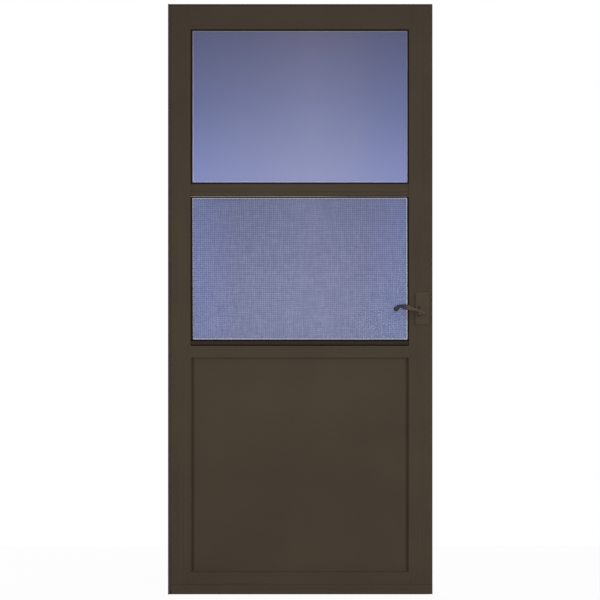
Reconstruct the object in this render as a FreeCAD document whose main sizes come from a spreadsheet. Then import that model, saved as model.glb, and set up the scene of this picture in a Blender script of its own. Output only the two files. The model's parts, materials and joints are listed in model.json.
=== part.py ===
"""Self-storing aluminium storm door in its mounting rails, drawn in millimetres.

X runs to the right as the door is seen from outside, Y inwards through the door and Z up.
The origin is at the foot of the hinge rail, on the face that is screwed to the door opening,
level with the outside face of the door leaf.
"""
import FreeCAD
import Part
import Sketcher
import os
import re

# Driving dimensions
SIZES = {
    "overall_width": 914,
    "overall_height": 2042,
    # rails screwed into the opening
    "rail_sheet": 2,
    "stop_width": 17,
    "edge_gap": 7,
    "head_gap": 5,
    "lip_gap": 3,
    "running_gap": 5,
    "seal_thickness": 3,
    "seal_width": 9,
    "rail_screw_radius": 2.5,
    "rail_screw_set_in": 6.2,
    "side_screw_end": 121,
    "head_screw_end": 157,
    "side_screw_count": 4,
    "head_screw_count": 2,
    # continuous hinge
    "barrel_radius": 3,
    "barrel_set_in": 2.1,
    "pin_radius": 1.6,
    "pin_clearance": 0.05,
    "hinge_sheet": 1.2,
    "hinge_plate_width": 28,
    "hinge_foot": 2,
    "hinge_length": 2032,
    "knuckle_pairs": 8,
    "knuckle_gap": 0.5,
    "knuckle_tab": 3,
    # hollow sections of the leaf
    "leaf_thickness": 32,
    "tube_wall": 1.6,
    "hinge_stile_width": 69.6,
    "latch_stile_width": 72,
    "top_rail_height": 81,
    "stile_foot": 14,
    "bottom_rail_top": 76.8,
    "lock_rail_foot": 819,
    "lock_rail_height": 41,
    "track_depth": 10,
    "joint_edge": 0.6,
    "outer_track": 12.4,
    # bottom expander and its sweep
    "expander_sheet": 1.2,
    "expander_foot": 2,
    "expander_set_in": 2,
    "expander_height": 33,
    "sweep_drop": 1.5,
    "sweep_width": 20,
    "sweep_fin": 0.8,
    # fixed upper glass with its gasket
    "glass_thickness": 3,
    "glass_edge_gap": 2,
    "gasket_side": 5.6,
    "gasket_end": 3.4,
    "meeting_rail_foot": 1378,
    "meeting_rail_height": 43.6,
    "meeting_rail_set_back": 1.9,
    "meeting_line_rise": 14,
    "meeting_line_depth": 1,
    "meeting_edge": 2.5,
    # insect screen insert
    "screen_frame_top": 1377,
    "screen_frame_depth": 8,
    "screen_set_back": 2.4,
    "screen_side_margin": 14.4,
    "screen_head_margin": 5,
    "screen_foot_margin": 32,
    "screen_inner_margin": 1.2,
    "screen_cloth": 0.6,
    "spline_width": 3.5,
    "spline_depth": 4,
    "lift_groove_height": 5,
    "foot_groove_height": 4,
    "bar_groove_depth": 6.5,
    "insert_slack": 1,
    # sliding lower sash
    "sash_height": 568,
    "sash_depth": 11,
    "sash_side_bar": 17.5,
    "sash_end_bar": 30,
    "sash_latch_width": 38,
    "sash_latch_height": 14,
    "sash_latch_depth": 5,
    # recessed kick panel
    "panel_thickness": 3,
    "panel_raise": 4,
    "panel_gap": 0.5,
    "panel_bevel": 8,
    "panel_bead_side": 4.4,
    "panel_bead_end": 3,
    "panel_bead_slope": 4.2,
    # lever set
    "hub_from_edge": 34,
    "hub_height": 977.5,
    "plate_width": 42,
    "plate_height": 110,
    "plate_bulge": 8,
    "plate_thickness": 8,
    "plate_edge": 2.5,
    "plate_from_edge": 2,
    "inside_plate_shift": 13,
    "plate_rise": 11.5,
    "screw_recess_radius": 3,
    "screw_recess_depth": 3,
    "screw_recess_rise": 17,
    "screw_recess_shift": 4,
    "neck_radius": 9,
    "neck_clearance": 0.05,
    "spindle_width": 8,
    "spindle_hole_radius": 11,
    "lever_standoff": 38,
    "hub_radius": 10.5,
    "hub_depth": 5,
    "hub_edge": 2,
    # corners of the lever's outline: reach from the hub and rise over it
    "tail_foot_reach": -16,
    "tail_foot_rise": -10.5,
    "sag_reach": 16,
    "sag_rise": 0.8,
    "belly_reach": 52,
    "belly_rise": 6.2,
    "notch_reach": 65,
    "notch_rise": 13.5,
    "chin_reach": 80,
    "chin_rise": 0.5,
    "tip_foot_reach": 91,
    "tip_foot_rise": 3.5,
    "tip_top_reach": 92,
    "tip_top_rise": 13,
    "brow_reach": 78,
    "brow_rise": 24,
    "crown_reach": 50,
    "crown_rise": 27,
    "tail_top_reach": -18,
    "tail_top_rise": -2.5,
    "lever_depth": 10.5,
    "lever_edge": 3,
    "tail_bend": 4,
    "tip_bend": 7,
    "crown_bend": 14,
    "notch_bend": 5,
    "sag_bend": 30,
    # latch
    "faceplate_width": 24,
    "faceplate_height": 92,
    "bolt_width": 12,
    "bolt_height": 18,
    "bolt_length": 22,
    "bolt_bevel": 8,
    "strike_sheet": 1.2,
    "strike_width": 26,
    "strike_height": 80,
}

# Places worked out from the driving dimensions
PLACES = {
    "axis_x": "=barrel_radius + barrel_set_in",
    "axis_y": "=-barrel_radius",
    "leaf_left": "=2 * axis_x - rail_sheet",
    "leaf_right": "=overall_width - rail_sheet - edge_gap",
    "leaf_top": "=overall_height - rail_sheet - head_gap",
    "lip_top": "=overall_height - rail_sheet - lip_gap",
    "opening_left": "=leaf_left + hinge_stile_width",
    "opening_right": "=leaf_right - latch_stile_width",
    "opening_top": "=leaf_top - top_rail_height",
    "track_left": "=opening_left - track_depth",
    "track_right": "=opening_right + track_depth",
    "track_top": "=opening_top + track_depth",
    "lock_rail_top": "=lock_rail_foot + lock_rail_height",
    "lock_track_foot": "=lock_rail_foot + track_depth",
    "lock_track_top": "=lock_rail_top - track_depth",
    "bottom_track": "=bottom_rail_top - track_depth",
    "inner_face": "=leaf_thickness - tube_wall",
    "fin_front": "=tube_wall + outer_track",
    "fin_back": "=fin_front + tube_wall",
    "stop_front": "=leaf_thickness + expander_sheet + running_gap + seal_thickness",
    "stop_back": "=stop_front + rail_sheet",
    "rail_front": "=tube_wall + running_gap",
    "screw_y": "=stop_front - rail_screw_set_in",
    "hinge_top": "=hinge_foot + hinge_length",
    "knuckle_pitch": "=hinge_length / (2 * knuckle_pairs + 1)",
    "knuckle_length": "=knuckle_pitch - knuckle_gap",
    "meeting_rail_top": "=meeting_rail_foot + meeting_rail_height",
    "gasket_depth_middle": "=(tube_wall + fin_front) / 2",
    "screen_front": "=tube_wall + screen_set_back",
    "screen_back": "=screen_front + screen_frame_depth",
    "panel_front": "=fin_front - panel_thickness",
    "sash_top": "=lock_track_top + sash_height",
    "sash_middle": "=(fin_back + inner_face) / 2",
    "hub_x": "=leaf_right - hub_from_edge",
    "plate_right": "=leaf_right - plate_from_edge",
    "plate_foot": "=hub_height + plate_rise - plate_height / 2",
    "plate_top": "=plate_foot + plate_height",
    "plate_arc": "=(plate_height * plate_height / 4 + plate_bulge * plate_bulge) / (2 * plate_bulge)",
    "latch_middle": "=leaf_thickness / 2",
}

LEVER_CORNERS = (
    "tail_foot", "sag", "belly", "notch", "chin", "tip_foot", "tip_top", "brow", "crown", "tail_top",
)
LEVER_BENDS = {
    "tail_bend": ("tail_foot", "tail_top"),
    "tip_bend": ("chin", "tip_foot", "tip_top"),
    "crown_bend": ("belly", "brow", "crown"),
    "notch_bend": ("notch",),
    "sag_bend": ("sag",),
}
PLANES = {"X": "YZ_Plane", "Y": "XZ_Plane", "Z": "XY_Plane"}
AXIS_ROLES = {"X": "X_Axis", "Y": "Y_Axis", "Z": "Z_Axis"}
TOUCH = 0.01

doc = FreeCAD.newDocument("storm_door")
sheet = doc.addObject("Spreadsheet::Sheet", "sizes")
pieces = []


def fill_sheet():
    """One row for each size or place: its name, then its value under that alias."""
    rows = {**SIZES, **PLACES}
    for row, (alias, value) in enumerate(rows.items(), start=1):
        sheet.set(f"A{row}", alias)
        sheet.set(f"B{row}", str(value))
        sheet.setAlias(f"B{row}", alias)
    doc.recompute()


ALIAS_WORDS = re.compile(r"\b(" + "|".join({**SIZES, **PLACES}) + r")\b")


def bound(text):
    """The expression with each alias read from the sheet."""
    return ALIAS_WORDS.sub(r"sizes.\1", text)


def number(text):
    """The value that an expression has now."""
    return float(sheet.evalExpression(text))


def new_body(label):
    body = doc.addObject("PartDesign::Body", label)
    body.Label = label
    pieces.append(body)
    return body


def origin_part(body, role):
    return next(part for part in body.Origin.OriginFeatures if part.Role == role)


def sketch_at(body, name, axis, place):
    """An empty sketch across an axis, at a place along it."""
    sketch = body.newObject("Sketcher::SketchObject", name)
    sketch.AttachmentSupport = [(origin_part(body, PLANES[axis]), "")]
    sketch.MapMode = "FlatFace"
    along_normal = f"-({place})" if axis == "Y" else place
    sketch.setExpression("AttachmentOffset.Base.z", bound(along_normal))
    return sketch


def hold_point(sketch, element, end, across, up):
    """Two distances from the sketch origin that hold one point of an element."""
    for kind, text in (("DistanceX", across), ("DistanceY", up)):
        held = sketch.addConstraint(Sketcher.Constraint(kind, -1, 1, element, end, number(text)))
        sketch.setExpression(f"Constraints[{held}]", bound(text))


def outline(*corners):
    """A closed outline of straight lines through the corners."""
    def draw(sketch):
        spots = [FreeCAD.Vector(number(across), number(up), 0) for across, up in corners]
        first = sketch.GeometryCount
        count = len(corners)
        for place, spot in enumerate(spots):
            sketch.addGeometry(Part.LineSegment(spot, spots[(place + 1) % count]))
        for place, (across, up) in enumerate(corners):
            line = first + place
            following = first + (place + 1) % count
            sketch.addConstraint(Sketcher.Constraint("Coincident", line, 2, following, 1))
            hold_point(sketch, line, 1, across, up)
    return draw


def rectangle(left, right, low, high):
    return outline((left, low), (right, low), (right, high), (left, high))


def circle(across, up, radius):
    def draw(sketch):
        centre = FreeCAD.Vector(number(across), number(up), 0)
        ring = sketch.addGeometry(Part.Circle(centre, FreeCAD.Vector(0, 0, 1), number(radius)))
        hold_point(sketch, ring, 3, across, up)
        held = sketch.addConstraint(Sketcher.Constraint("Radius", ring, number(radius)))
        sketch.setExpression(f"Constraints[{held}]", bound(radius))
    return draw


def extrude(body, name, axis, near, far, *wires, cut=False):
    """A pad, or a pocket where cut is set, of the wires from near to far along an axis."""
    start = near if (axis == "Y") == cut else far
    sketch = sketch_at(body, name + "_sketch", axis, start)
    for wire in wires:
        wire(sketch)
    feature = body.newObject("PartDesign::Pocket" if cut else "PartDesign::Pad", name)
    feature.Profile = sketch
    feature.setExpression("Length", bound(f"({far}) - ({near})"))
    sketch.Visibility = False
    doc.recompute()
    return feature


def repeat(body, name, features, axis, extent, count):
    """A row of like features along an axis."""
    pattern = body.newObject("PartDesign::LinearPattern", name)
    pattern.Originals = features
    pattern.Direction = (origin_part(body, AXIS_ROLES[axis]), [""])
    pattern.setExpression("Length", bound(extent))
    pattern.setExpression("Occurrences", bound(count))
    body.Tip = pattern
    doc.recompute()
    return pattern


def loft(body, name, axis, *sections):
    """A body through outlines at places along an axis, straight from each to the next."""
    sketches = []
    for count, (place, wire) in enumerate(sections, start=1):
        sketch = sketch_at(body, f"{name}_section_{count}", axis, place)
        wire(sketch)
        sketch.Visibility = False
        sketches.append(sketch)
    doc.recompute()
    feature = body.newObject("PartDesign::AdditiveLoft", name)
    feature.Profile = sketches[0]
    feature.Sections = sketches[1:]
    feature.Ruled = True
    doc.recompute()
    return feature


def edges_within(feature, x, y, z):
    """Names of the edges of a feature that lie wholly inside a box."""
    low, high = zip(*((number(near), number(far)) for near, far in (x, y, z)))
    inside = FreeCAD.BoundBox(*low, *high)
    inside.enlarge(TOUCH)
    edges = enumerate(feature.Shape.Edges, start=1)
    return [f"Edge{place}" for place, edge in edges if inside.isInside(edge.BoundBox)]


def soften(body, kind, name, base, size, edges):
    """A fillet or a chamfer on edges of a feature."""
    feature = body.newObject(f"PartDesign::{kind}", name)
    feature.Base = (base, edges)
    feature.setExpression("Radius" if kind == "Fillet" else "Size", bound(size))
    doc.recompute()
    return feature


def slab(label, x, y, z):
    """A plain block between two places along each axis."""
    box = doc.addObject("Part::Box", label)
    box.Label = label
    for side, letter, (near, far) in zip(("Length", "Width", "Height"), "xyz", (x, y, z)):
        box.setExpression(side, bound(f"({far}) - ({near})"))
        box.setExpression(f"Placement.Base.{letter}", bound(near))
    return box


def cut_away(label, base, *tools):
    """The base with each tool taken out of it."""
    for place, tool in enumerate(tools, start=1):
        cut = doc.addObject("Part::Cut", label if place == len(tools) else f"{label}_{place}")
        cut.Base = base
        cut.Tool = tool
        base = cut
    base.Label = label
    return base


def keep(piece):
    pieces.append(piece)
    return piece


def side_screw_holes(body, near, far):
    """Screw holes up a side rail, through its web."""
    hole = extrude(
        body, "screw_hole", "X", near, far,
        circle("screw_y", "side_screw_end", "rail_screw_radius"), cut=True,
    )
    repeat(
        body, "screw_holes", [hole], "Z",
        "overall_height - 2 * side_screw_end", "side_screw_count",
    )


def make_side_rails():
    """The rail of each side: a web that is screwed to the opening, and its stop."""
    stop_y = ("stop_front", "stop_back")
    up = ("0", "overall_height - rail_sheet")
    hinge_side = new_body("hinge_rail")
    extrude(hinge_side, "web", "Z", "0", "overall_height", rectangle("0", "rail_sheet", "0", "stop_back"))
    side_screw_holes(hinge_side, "0", "rail_sheet")
    keep(slab("hinge_stop", ("rail_sheet", "stop_width"), stop_y, up))
    latch_side = new_body("latch_rail")
    inner = "overall_width - rail_sheet"
    extrude(
        latch_side, "web", "Z", "0", "overall_height",
        rectangle(inner, "overall_width", "rail_front", "stop_back"),
    )
    side_screw_holes(latch_side, inner, "overall_width")
    keep(slab("latch_stop", ("overall_width - stop_width", inner), stop_y, up))


def make_head_rail():
    """The head rail lies between the webs of the side rails, its stop between their stops."""
    body = new_body("head_rail")
    under = "overall_height - rail_sheet"
    extrude(
        body, "web", "Z", under, "overall_height",
        rectangle("rail_sheet", "overall_width - rail_sheet", "rail_front", "stop_back"),
    )
    hole = extrude(
        body, "screw_hole", "Z", under, "overall_height",
        circle("head_screw_end", "screw_y", "rail_screw_radius"), cut=True,
    )
    repeat(
        body, "screw_holes", [hole], "X",
        "overall_width - 2 * head_screw_end", "head_screw_count",
    )
    keep(slab(
        "head_stop", ("stop_width", "overall_width - stop_width"), ("stop_front", "stop_back"),
        ("overall_height - stop_width", under),
    ))


def make_seals():
    """Strips of weather seal on the stops, facing the leaf."""
    front = ("stop_front - seal_thickness", "stop_front")
    side_top = "overall_height - stop_width"
    keep(slab("hinge_side_seal", ("stop_width - seal_width", "stop_width"), front, ("0", side_top)))
    keep(slab(
        "latch_side_seal",
        ("overall_width - stop_width", "overall_width - stop_width + seal_width"), front, ("0", side_top),
    ))
    keep(slab(
        "head_seal", ("stop_width", "overall_width - stop_width"), front,
        (side_top, "overall_height - stop_width + seal_width"),
    ))


def make_hinge_half(label, plate_left, first, count):
    """A long plate with every second knuckle of the continuous hinge rolled on its edge."""
    body = new_body(label)
    plate_right = f"{plate_left} + hinge_sheet"
    top = f"{first} + knuckle_length"
    extrude(
        body, "plate", "Z", "hinge_foot", "hinge_top",
        rectangle(plate_left, plate_right, "0", "hinge_plate_width"),
    )
    tab = extrude(
        body, "tab", "Z", first, top, rectangle(plate_left, plate_right, "-knuckle_tab", "0"),
    )
    barrel = extrude(body, "barrel", "Z", first, top, circle("axis_x", "axis_y", "barrel_radius"))
    repeat(
        body, "knuckles", [tab, barrel], "Z",
        f"2 * knuckle_pitch * ({count} - 1)", count,
    )
    bore = extrude(
        body, "bore", "Z", "hinge_foot", "hinge_top",
        circle("axis_x", "axis_y", "pin_radius + pin_clearance"), cut=True,
    )
    body.Tip = bore


def make_hinge():
    make_hinge_half("hinge_frame_leaf", "rail_sheet", "hinge_foot", "knuckle_pairs + 1")
    make_hinge_half(
        "hinge_door_leaf", "leaf_left - hinge_sheet", "hinge_foot + knuckle_pitch", "knuckle_pairs",
    )
    pin = doc.addObject("Part::Cylinder", "hinge_pin")
    pin.Label = "hinge_pin"
    pin.setExpression("Radius", bound("pin_radius"))
    pin.setExpression("Height", bound("hinge_length"))
    for letter, place in zip("xyz", ("axis_x", "axis_y", "hinge_foot")):
        pin.setExpression(f"Placement.Base.{letter}", bound(place))
    keep(pin)


def stile_notches(body, left, right):
    """The track fins are notched where the three rails run in to the tube."""
    extrude(
        body, "rail_notches", "Y", "0", "leaf_thickness",
        rectangle(left, right, "stile_foot", "bottom_rail_top"),
        rectangle(left, right, "lock_rail_foot", "lock_rail_top"),
        rectangle(left, right, "opening_top", "lip_top"), cut=True,
    )


def top_lip(body, left, right):
    """Above the leaf's top edge only the outside wall goes on, as a lip just under the head rail."""
    return extrude(
        body, "top_lip", "Z", "leaf_top", "lip_top",
        rectangle(left, right, "tube_wall", "leaf_thickness"), cut=True,
    )


def make_hinge_stile():
    body = new_body("hinge_stile")
    extrude(
        body, "section", "Z", "stile_foot", "lip_top",
        outline(
            ("leaf_left", "0"), ("opening_left", "0"), ("opening_left", "tube_wall"),
            ("track_left", "tube_wall"), ("track_left", "fin_front"), ("opening_left", "fin_front"),
            ("opening_left", "fin_back"), ("track_left", "fin_back"), ("track_left", "inner_face"),
            ("opening_left", "inner_face"), ("opening_left", "leaf_thickness"),
            ("leaf_left", "leaf_thickness"),
        ),
        rectangle("leaf_left + tube_wall", "track_left - tube_wall", "tube_wall", "inner_face"),
    )
    stile_notches(body, "track_left", "opening_left")
    top_lip(body, "leaf_left", "opening_left")


def make_latch_stile():
    """The latch stile has the lip that laps the latch rail, and is cut for the lever and the latch."""
    body = new_body("latch_stile")
    extrude(
        body, "section", "Z", "stile_foot", "lip_top",
        outline(
            ("overall_width", "0"), ("overall_width", "tube_wall"), ("leaf_right", "tube_wall"),
            ("leaf_right", "leaf_thickness"), ("opening_right", "leaf_thickness"),
            ("opening_right", "inner_face"), ("track_right", "inner_face"), ("track_right", "fin_back"),
            ("opening_right", "fin_back"), ("opening_right", "fin_front"), ("track_right", "fin_front"),
            ("track_right", "tube_wall"), ("opening_right", "tube_wall"), ("opening_right", "0"),
        ),
        rectangle("track_right + tube_wall", "leaf_right - tube_wall", "tube_wall", "inner_face"),
    )
    stile_notches(body, "opening_right", "track_right")
    top_lip(body, "opening_right", "overall_width")
    extrude(
        body, "spindle_hole", "Y", "0", "leaf_thickness",
        circle("hub_x", "hub_height", "spindle_hole_radius"), cut=True,
    )
    extrude(
        body, "latch_slot", "X", "leaf_right - tube_wall", "leaf_right",
        rectangle(
            "latch_middle - faceplate_width / 2", "latch_middle + faceplate_width / 2",
            "hub_height - faceplate_height / 2", "hub_height + faceplate_height / 2",
        ), cut=True,
    )


def make_rail(label, section, hollow):
    """A rail between the stiles, its outside corners eased where it butts against them."""
    body = new_body(label)
    bar = extrude(body, "section", "X", "track_left", "track_right", section, hollow)
    up = ("0", "overall_height")
    corners = []
    for end in ("track_left", "track_right"):
        corners += edges_within(bar, (end, end), ("0", "0"), up)
    soften(body, "Chamfer", "joint_lines", bar, "joint_edge", corners)


def make_leaf_rails():
    """Top, lock and bottom rail: hollow sections with a track for the inserts along each opening."""
    make_rail(
        "top_rail",
        outline(
            ("0", "opening_top"), ("tube_wall", "opening_top"), ("tube_wall", "track_top"),
            ("fin_front", "track_top"), ("fin_front", "opening_top"), ("fin_back", "opening_top"),
            ("fin_back", "track_top"), ("inner_face", "track_top"), ("inner_face", "opening_top"),
            ("leaf_thickness", "opening_top"), ("leaf_thickness", "leaf_top"), ("tube_wall", "leaf_top"),
            ("tube_wall", "lip_top"), ("0", "lip_top"),
        ),
        rectangle("tube_wall", "inner_face", "track_top + tube_wall", "leaf_top - tube_wall"),
    )
    make_rail(
        "lock_rail",
        outline(
            ("0", "lock_rail_foot"), ("tube_wall", "lock_rail_foot"), ("tube_wall", "lock_track_foot"),
            ("fin_front", "lock_track_foot"), ("fin_front", "lock_rail_foot"),
            ("fin_back", "lock_rail_foot"), ("fin_back", "lock_track_foot"),
            ("inner_face", "lock_track_foot"), ("inner_face", "lock_rail_foot"),
            ("leaf_thickness", "lock_rail_foot"), ("leaf_thickness", "lock_rail_top"),
            ("inner_face", "lock_rail_top"), ("inner_face", "lock_track_top"),
            ("fin_back", "lock_track_top"), ("fin_back", "lock_rail_top"),
            ("fin_front", "lock_rail_top"), ("fin_front", "lock_track_top"),
            ("tube_wall", "lock_track_top"), ("tube_wall", "lock_rail_top"), ("0", "lock_rail_top"),
        ),
        rectangle("tube_wall", "inner_face", "lock_track_foot + tube_wall", "lock_track_top - tube_wall"),
    )
    make_rail(
        "bottom_rail",
        outline(
            ("0", "stile_foot"), ("leaf_thickness", "stile_foot"), ("leaf_thickness", "bottom_rail_top"),
            ("inner_face", "bottom_rail_top"), ("inner_face", "bottom_track"), ("fin_back", "bottom_track"),
            ("fin_back", "bottom_rail_top"), ("fin_front", "bottom_rail_top"), ("fin_front", "bottom_track"),
            ("tube_wall", "bottom_track"), ("tube_wall", "bottom_rail_top"), ("0", "bottom_rail_top"),
        ),
        rectangle("tube_wall", "inner_face", "stile_foot + tube_wall", "bottom_track - tube_wall"),
    )


def make_expander():
    """A channel that slides on the foot of the leaf and covers its lip, with a sweep under it."""
    body = new_body("bottom_expander")
    outside = "-expander_sheet"
    inside = "leaf_thickness + expander_sheet"
    floor = "expander_foot + expander_sheet"
    top = "expander_foot + expander_height"
    extrude(
        body, "section", "X", "leaf_left + expander_set_in", "leaf_right",
        outline(
            (outside, "expander_foot"), (inside, "expander_foot"), (inside, top), ("leaf_thickness", top),
            ("leaf_thickness", floor), ("0", floor), ("0", top), (outside, top),
        ),
    )
    extrude(
        body, "lap", "X", "leaf_right", "overall_width",
        rectangle(outside, "0", "expander_foot", top),
    )
    sweep = new_body("bottom_sweep")
    front = "latch_middle - sweep_width / 2"
    back = "latch_middle + sweep_width / 2"
    foot = "expander_foot - sweep_drop"
    under = "expander_foot - sweep_fin"
    extrude(
        sweep, "section", "X", "leaf_left", "leaf_right",
        outline(
            (front, foot), (f"{front} + sweep_fin", foot), (f"{front} + sweep_fin", under),
            (f"{back} - sweep_fin", under), (f"{back} - sweep_fin", foot), (back, foot),
            (back, "expander_foot"), (front, "expander_foot"),
        ),
    )


def make_upper_glass():
    """The fixed pane, the gasket round it and the rail that carries its lower edge."""
    across = ("track_left + glass_edge_gap", "track_right - glass_edge_gap")
    through = ("gasket_depth_middle - glass_thickness / 2", "gasket_depth_middle + glass_thickness / 2")
    up = ("meeting_rail_top + glass_edge_gap", "track_top - glass_edge_gap")
    keep(slab("upper_glass", across, through, up))
    whole = slab(
        "glass_gasket_block", ("track_left", "track_right"), ("tube_wall", "fin_front"),
        ("meeting_rail_top", "track_top"),
    )
    view = slab(
        "glass_gasket_view", ("opening_left + gasket_side", "opening_right - gasket_side"),
        ("tube_wall", "fin_front"), ("meeting_rail_top + gasket_end", "opening_top - gasket_end"),
    )
    keep(cut_away("glass_gasket", whole, view, slab("glass_gasket_slot", across, through, up)))
    body = new_body("meeting_rail")
    front = "tube_wall + meeting_rail_set_back"
    back = "fin_front - meeting_rail_set_back"
    line = "meeting_rail_foot + meeting_line_rise"
    extrude(
        body, "section", "X", "track_left + insert_slack", "track_right - insert_slack",
        outline(
            (f"{front} + meeting_edge", "meeting_rail_foot"), (back, "meeting_rail_foot"),
            (back, "meeting_rail_top"), (f"{front} + meeting_edge", "meeting_rail_top"),
            (front, "meeting_rail_top - meeting_edge"), (front, f"{line} + meeting_line_depth"),
            (f"{front} + meeting_line_depth", line), (front, f"{line} - meeting_line_depth"),
            (front, "meeting_rail_foot + meeting_edge"),
        ),
        rectangle(
            f"{front} + meeting_line_depth + tube_wall", f"{back} - tube_wall",
            "meeting_rail_foot + tube_wall", "meeting_rail_top - tube_wall",
        ),
    )


def make_screen():
    """The screen insert in the outer track: a bar frame, its cloth and the spline that grips the cloth."""
    left = "track_left + insert_slack"
    right = "track_right - insert_slack"
    low = "lock_track_top + screen_foot_margin"
    groove = (
        f"{left} + screen_side_margin", f"{right} - screen_side_margin",
        low, "screen_frame_top - screen_head_margin",
    )
    inwards = ("+", "-", "+", "-")
    cloth = [f"{edge} {sign} spline_width" for edge, sign in zip(groove, inwards)]
    view = [f"{edge} {sign} screen_inner_margin" for edge, sign in zip(cloth, inwards)]
    cloth_back = "screen_front + screen_cloth"
    spline_back = "screen_front + spline_depth"
    body = new_body("screen_frame")
    extrude(
        body, "bars", "Y", "screen_front", "screen_back",
        rectangle(left, right, "lock_track_top", "screen_frame_top"), rectangle(*view),
    )
    extrude(
        body, "cloth_seat", "Y", "screen_front", cloth_back,
        rectangle(*cloth), rectangle(*view), cut=True,
    )
    extrude(
        body, "spline_groove", "Y", "screen_front", spline_back,
        rectangle(*groove), rectangle(*cloth), cut=True,
    )
    extrude(
        body, "lift_bar", "Y", "screen_front", "screen_front + bar_groove_depth",
        rectangle("opening_left", "opening_right", f"{low} - lift_groove_height", low),
        rectangle("opening_left", "opening_right", "lock_rail_top", "lock_rail_top + foot_groove_height"),
        cut=True,
    )
    keep(slab("insect_screen", cloth[:2], ("screen_front", cloth_back), cloth[2:]))
    spline = new_body("screen_spline")
    extrude(
        spline, "section", "Y", "screen_front", spline_back, rectangle(*groove), rectangle(*cloth),
    )


def make_sash():
    """The sliding lower sash in the inner track, with its pane and its two finger latches."""
    left = "track_left + insert_slack"
    right = "track_right - insert_slack"
    depth = ("sash_middle - sash_depth / 2", "sash_middle + sash_depth / 2")
    pane_y = ("sash_middle - glass_thickness / 2", "sash_middle + glass_thickness / 2")
    pane_x = (f"{left} + glass_edge_gap", f"{right} - glass_edge_gap")
    pane_z = ("lock_track_top + glass_edge_gap", "sash_top - glass_edge_gap")
    keep(slab("sash_glass", pane_x, pane_y, pane_z))
    block = slab("sash_frame_block", (left, right), depth, ("lock_track_top", "sash_top"))
    view = slab(
        "sash_frame_view", (f"{left} + sash_side_bar", f"{right} - sash_side_bar"), depth,
        ("lock_track_top + sash_end_bar", "sash_top - sash_end_bar"),
    )
    keep(cut_away("sash_frame", block, view, slab("sash_frame_slot", pane_x, pane_y, pane_z)))
    up = ("lock_rail_top + insert_slack", "lock_rail_top + insert_slack + sash_latch_height")
    through = (depth[1], f"{depth[1]} + sash_latch_depth")
    latches = doc.addObject("Part::Compound", "sash_latches")
    latches.Label = "sash_latches"
    latches.Links = [
        slab("left_sash_latch", ("opening_left + sash_side_bar",
             "opening_left + sash_side_bar + sash_latch_width"), through, up),
        slab("right_sash_latch", ("opening_right - sash_side_bar - sash_latch_width",
             "opening_right - sash_side_bar"), through, up),
    ]
    keep(latches)


def make_kick_panel():
    """The panel, raised between bevels at its sides, and the sloping bead that holds it to the fins."""
    across = ("track_left", "track_right")
    up = ("bottom_track", "lock_track_foot")
    inner = (
        "opening_left + panel_bead_side", "opening_right - panel_bead_side",
        "bottom_rail_top + panel_bead_end", "lock_rail_foot - panel_bead_end",
    )
    foot = (f"{inner[0]} + panel_gap", f"{inner[1]} - panel_gap", *inner[2:])
    field = (f"{foot[0]} + panel_bevel", f"{foot[1]} - panel_bevel", *inner[2:])
    panel = new_body("kick_panel")
    extrude(panel, "sheet", "Y", "panel_front", "fin_front", rectangle(*across, *up))
    loft(
        panel, "raised_field", "Y",
        ("panel_front", rectangle(*foot)), ("panel_front - panel_raise", rectangle(*field)),
    )
    bead = new_body("panel_bead")
    frame = extrude(
        bead, "frame", "Y", "tube_wall", "panel_front", rectangle(*across, *up), rectangle(*inner),
    )
    front_edges = edges_within(frame, inner[:2], ("tube_wall", "tube_wall"), inner[2:])
    soften(bead, "Chamfer", "slope", frame, "panel_bead_slope", front_edges)


def plate_outline(right):
    """Straight top, edge and foot, with the side towards the opening bowed out."""
    left = f"{right} - plate_width"

    def draw(sketch):
        corners = ((left, "plate_foot"), (right, "plate_foot"), (right, "plate_top"), (left, "plate_top"))
        spots = [FreeCAD.Vector(number(across), number(up), 0) for across, up in corners]
        bow = (spots[0] + spots[3]) / 2 - FreeCAD.Vector(number("plate_bulge"), 0, 0)
        for place in range(3):
            sketch.addGeometry(Part.LineSegment(spots[place], spots[place + 1]))
            hold_point(sketch, place, 1, *corners[place])
        arc = sketch.addGeometry(Part.ArcOfCircle(spots[3], bow, spots[0]))
        hold_point(sketch, 2, 2, *corners[3])
        for line, end, following, start in ((0, 2, 1, 1), (1, 2, 2, 1), (2, 2, arc, 1), (arc, 2, 0, 1)):
            sketch.addConstraint(Sketcher.Constraint("Coincident", line, end, following, start))
        held = sketch.addConstraint(Sketcher.Constraint("Radius", arc, number("plate_arc")))
        sketch.setExpression(f"Constraints[{held}]", bound("plate_arc"))
    return draw


def make_plate(label, right, near, far, face):
    """A plate behind a lever, bevelled round its face, with a bore for the lever's neck."""
    body = new_body(label)
    block = extrude(body, "block", "Y", near, far, plate_outline(right))
    across = (f"{right} - plate_width - plate_bulge", right)
    face_edges = edges_within(block, across, (face, face), ("plate_foot", "plate_top"))
    soften(body, "Chamfer", "face_bevel", block, "plate_edge", face_edges)
    extrude(
        body, "neck_bore", "Y", near, far,
        circle("hub_x", "hub_height", "neck_radius + neck_clearance"), cut=True,
    )
    return body


def make_plates():
    outside = make_plate("exterior_plate", "plate_right", "-plate_thickness", "0", "-plate_thickness")
    extrude(
        outside, "screw_recess", "Y", "-plate_thickness", "screw_recess_depth - plate_thickness",
        circle(
            "hub_x - screw_recess_shift", "hub_height + screw_recess_rise", "screw_recess_radius",
        ), cut=True,
    )
    back = "leaf_thickness + plate_thickness"
    make_plate("interior_plate", "plate_right - inside_plate_shift", "leaf_thickness", back, back)


def mirror_inside(label, source):
    """The same piece on the inside of the door, mirrored through the middle of the leaf."""
    mirror = doc.addObject("Part::Mirroring", label)
    mirror.Label = label
    mirror.Source = source
    mirror.Normal = FreeCAD.Vector(0, 1, 0)
    mirror.setExpression("Base.y", bound("leaf_thickness / 2"))
    keep(mirror)


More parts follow.
